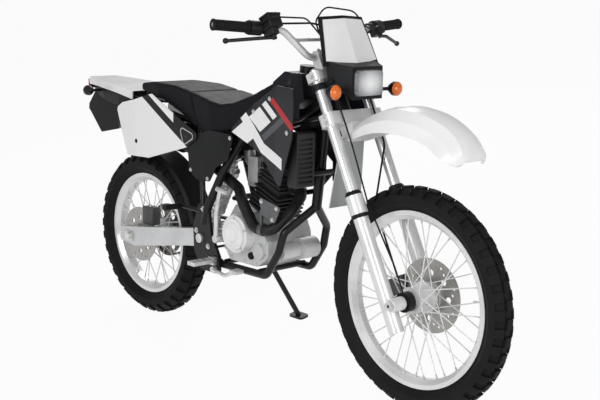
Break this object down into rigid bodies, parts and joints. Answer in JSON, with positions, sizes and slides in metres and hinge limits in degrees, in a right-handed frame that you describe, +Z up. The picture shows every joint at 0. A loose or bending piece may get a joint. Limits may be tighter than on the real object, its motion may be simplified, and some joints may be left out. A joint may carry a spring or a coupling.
{
  "type": "trail motorcycle",
  "caption": "Light trail motorcycle with spoked wheels, knobby tyres, high front mudguard and a stepped seat, leaning on its side stand.",
  "frame": {"origin": "floor point under the middle of the parked machine's bounding box", "axes": "+X forward, +Y to the rider's left, +Z up; the machine leans to +Y on its side stand"},
  "size_m": [2.1424, 0.8192, 1.2366],
  "materials": {
    "frame_black": "satin black paint",
    "silver_alloy": "bead-blasted silver alloy",
    "bright_steel": "zinc-plated and brushed steel",
    "hard_chrome": "ground hard chrome",
    "engine_black": "heat-proof black paint",
    "engine_grey": "grey cast alloy",
    "white_plastic": "white moulded plastic",
    "black_plastic": "black grained plastic",
    "gloss_black": "gloss black with plain white and red bands",
    "tyre_rubber": "off-road tyre rubber",
    "soft_rubber": "ribbed black rubber",
    "seat_cover": "black grained vinyl seat cover",
    "red_lens": "red lamp lens",
    "amber_lens": "amber lamp lens",
    "clear_lens": "clear fluted lamp lens"
  },
  "bodies": {
    "chassis": {"main_frame": "frame_black", "swingarm": "silver_alloy", "pivot_bolt": "bright_steel", "rear_axle": "bright_steel", "rear_shock": "engine_black", "crankcase": "silver_alloy", "clutch_cover": "silver_alloy", "cylinder": "engine_black", "cylinder_head": "engine_grey", "carburettor": "silver_alloy", "airbox": "black_plastic", "exhaust": "engine_black", "heat_shield": "engine_grey", "radiators": "black_plastic", "hoses": "soft_rubber", "fuel_tank": "gloss_black", "tank_cap": "black_plastic", "seat": "seat_cover", "shrouds": "gloss_black", "side_panels": "white_plastic", "rear_fender": "white_plastic", "tail_lamp": "red_lens", "rear_mudguard": "black_plastic", "rear_indicators": "amber_lens", "footpegs": "frame_black", "pillion_pegs": "bright_steel", "brake_pedal": "bright_steel", "gear_lever": "bright_steel", "kick_lever": "bright_steel", "drive_chain": "bright_steel", "front_sprocket": "bright_steel", "rear_caliper": "engine_grey"},
    "steering": {"fork_stanchions": "hard_chrome", "fork_sliders": "silver_alloy", "lower_clamp": "silver_alloy", "upper_clamp": "silver_alloy", "handlebar": "silver_alloy", "grips": "soft_rubber", "controls": "black_plastic", "levers": "bright_steel", "front_fender": "white_plastic", "number_shield": "white_plastic", "headlight_mask": "black_plastic", "headlight": "clear_lens", "instrument": "black_plastic", "front_indicators": "amber_lens", "front_axle": "bright_steel", "speedo_drive": "black_plastic", "front_caliper": "engine_grey", "cables": "soft_rubber"},
    "front_wheel": {"front_tyre": "tyre_rubber", "front_rim": "silver_alloy", "front_hub": "silver_alloy", "front_disc": "bright_steel"},
    "rear_wheel": {"rear_tyre": "tyre_rubber", "rear_rim": "silver_alloy", "rear_hub": "silver_alloy", "rear_disc": "bright_steel", "rear_sprocket": "bright_steel"},
    "side_stand": {"side_stand": "bright_steel"}
  },
  "joints": [
    {"name": "steering", "type": "hinge", "parent": "chassis", "child": "steering", "pos_m": [0.36279, -0.03633, 0.92028], "axis": [-0.4462, 0.14, 0.8839], "range_deg": [-40, 40]},
    {"name": "front_wheel_spin", "type": "hinge", "parent": "steering", "child": "front_wheel", "pos_m": [0.72175, -0.12722, 0.34643], "axis": [0, 0.9877, -0.1564], "continuous": true},
    {"name": "rear_wheel_spin", "type": "hinge", "parent": "chassis", "child": "rear_wheel", "pos_m": [-0.68339, -0.13113, 0.32174], "axis": [0, 0.9877, -0.1564], "continuous": true},
    {"name": "side_stand_fold", "type": "hinge", "parent": "chassis", "child": "side_stand", "pos_m": [-0.18821, 0.01759, 0.28907], "axis": [0.1786, 0.9258, 0.3331], "range_deg": [0, 99.7]}
  ]
}
